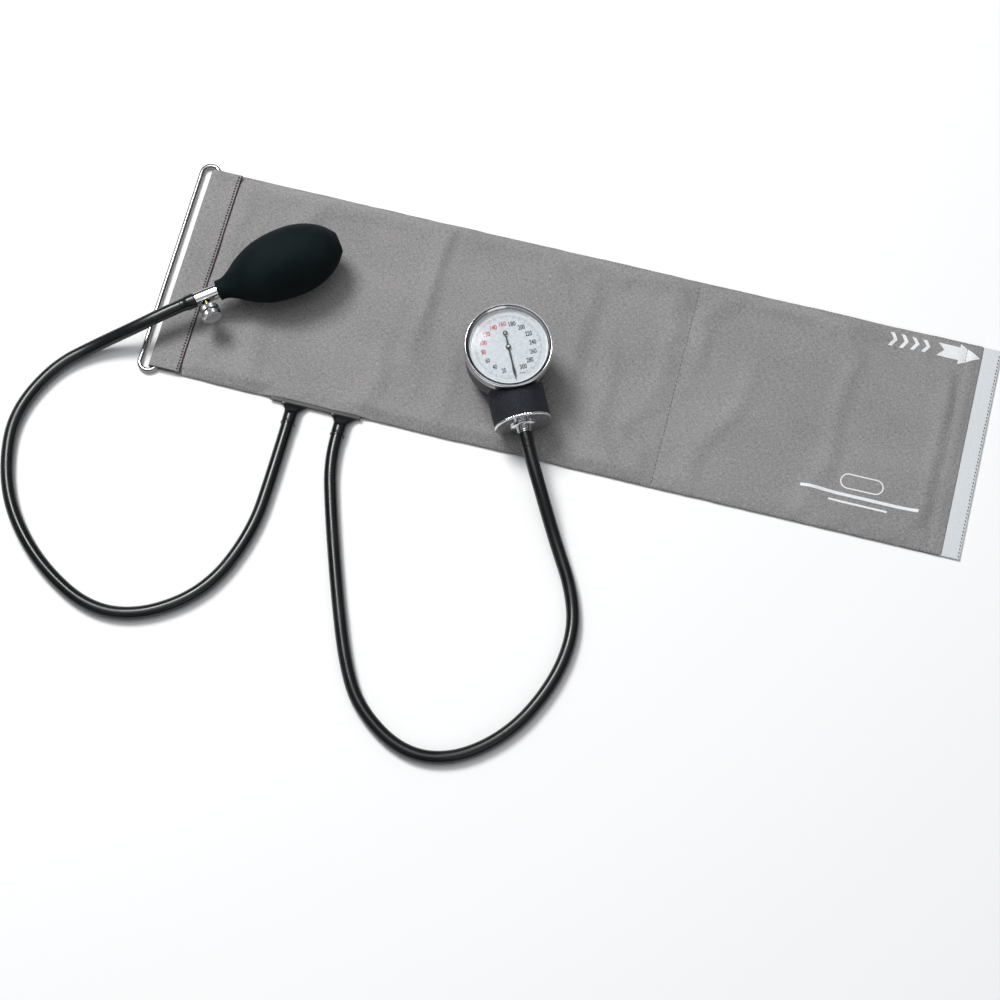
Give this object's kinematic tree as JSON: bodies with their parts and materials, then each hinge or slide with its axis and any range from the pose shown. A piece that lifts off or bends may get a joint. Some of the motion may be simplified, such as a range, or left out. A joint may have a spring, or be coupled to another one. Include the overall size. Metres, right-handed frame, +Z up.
{
  "type": "blood pressure cuff",
  "caption": "Cloth arm cuff with an inflatable bladder, pull ring and touch-fastener tail, joined by rubber hoses to a squeeze bulb with release valve and a round dial gauge.",
  "frame": {"origin": "under the middle of the cuff (ring to end strip), on the surface that the set lies on", "axes": "+X along the cuff from the ring to the tail's end, +Y across the cuff away from the hoses, +Z up"},
  "size_m": [0.576, 0.3432, 0.0476],
  "materials": {
    "grey_cloth": "fine woven cotton",
    "white_tape": "white folded binding tape",
    "hook_tape": "hook side of touch fastener",
    "loop_tape": "brushed loop side of touch fastener",
    "black_rubber": "matt black rubber",
    "bladder_rubber": "smooth black rubber",
    "ring_wire": "bright nickel-plated wire",
    "chrome": "polished plating",
    "knurled_knob": "knurled plating",
    "brass": "bright turned brass",
    "steel": "bright steel",
    "black_paint": "semi-gloss black",
    "leatherette": "fine grained black leatherette",
    "clear_glass": "clear",
    "dial_white": "satin white enamel",
    "pointer_black": "satin black",
    "gasket_rubber": "soft black rubber"
  },
  "bodies": {
    "cuff": {"cuff_inner_panel": "grey_cloth", "cuff_outer_panel": "grey_cloth", "ring_sleeve": "grey_cloth", "back_seam_allowance": "grey_cloth", "front_seam_left": "grey_cloth", "front_seam_right": "grey_cloth", "loop_patch": "loop_tape", "bladder": "bladder_rubber", "bulb_hose_port": "black_rubber", "gauge_hose_port": "black_rubber", "bulb_hose": "black_rubber", "gauge_hose": "black_rubber", "bulb_shell": "black_rubber", "inlet_valve_body": "chrome", "inlet_ball_retainer": "brass", "release_valve_body": "chrome", "outlet_ball_retainer": "brass", "stem_o_ring": "gasket_rubber", "gauge_case": "black_paint", "bezel": "chrome", "gauge_lens": "clear_glass", "lens_gasket": "gasket_rubber", "dial_plate": "dial_white", "movement_top_plate": "brass", "movement_bottom_plate": "brass", "movement_pillars": "brass", "movement_screws": "steel", "movement_posts": "brass", "back_screws": "steel", "hairspring": "brass", "hairspring_stud": "brass", "capsule": "brass", "capsule_stem": "brass", "drum_housing": "black_paint", "leatherette_sleeve": "leatherette", "base_plate": "chrome", "base_nut": "chrome", "hose_nozzle": "chrome"},
    "tail": {"tail_inner_panel": "grey_cloth", "tail_outer_panel": "grey_cloth", "hook_tape": "hook_tape", "end_strip": "white_tape"},
    "ring": {"d_ring": "ring_wire"},
    "needle": {"release_needle": "brass"},
    "knob": {"release_knob": "knurled_knob"},
    "inlet_check": {"inlet_ball": "steel"},
    "outlet_check": {"outlet_ball": "steel"},
    "sector": {"sector_gear": "brass", "sector_arbor": "steel"},
    "pointer": {"pointer": "pointer_black", "pointer_hub": "brass", "pinion_arbor": "steel"},
    "push_rod": {"push_rod": "steel"}
  },
  "joints": [
    {"name": "tail_fold", "type": "hinge", "parent": "cuff", "child": "tail", "pos_m": [0.067, 0, 0.0046], "axis": [0, -1, 0], "range_deg": [0, 135]},
    {"name": "ring_swing", "type": "hinge", "parent": "cuff", "child": "ring", "pos_m": [-0.2435, 0, 0.0022], "axis": [0, 1, 0], "range_deg": [0, 150]},
    {"name": "needle_slide", "type": "slide", "parent": "cuff", "child": "needle", "axis": [0.584, -0.7998, 0.1388], "range_m": [0, 0.00106]},
    {"name": "knob_turn", "type": "hinge", "parent": "needle", "child": "knob", "pos_m": [-0.21645, -0.03474, 0.02409], "axis": [0.584, -0.7998, 0.1388], "range_deg": [0, 540]},
    {"name": "inlet_ball_slide", "type": "slide", "parent": "cuff", "child": "inlet_check", "axis": [-0.7998, -0.5962, -0.0698], "range_m": [0, 0.001]},
    {"name": "outlet_ball_slide", "type": "slide", "parent": "cuff", "child": "outlet_check", "axis": [-0.7998, -0.5962, -0.0698], "range_m": [0, 0.0009]},
    {"name": "sector_turn", "type": "hinge", "parent": "cuff", "child": "sector", "pos_m": [-0.03234, -0.03383, 0.02431], "axis": [0.0627, -0.0463, 0.997], "range_deg": [0, 28]},
    {"name": "pointer_sweep", "type": "hinge", "parent": "cuff", "child": "pointer", "pos_m": [-0.0351, -0.0185, 0.0252], "axis": [-0.0627, 0.0463, -0.997], "range_deg": [0, 336], "deforming": ["hairspring"]},
    {"name": "rod_slide", "type": "slide", "parent": "cuff", "child": "push_rod", "axis": [-0.4529, 0.8888, 0.0698], "range_m": [0, 0.0022], "deforming": ["capsule"]}
  ],
  "couplings": [
    {"joint": "needle_slide", "follows": "knob_turn", "m_per_rad": 0.00011141},
    {"joint": "pointer_sweep", "follows": "sector_turn", "ratio": 12},
    {"joint": "rod_slide", "follows": "sector_turn", "m_per_rad": 0.0044554}
  ]
}
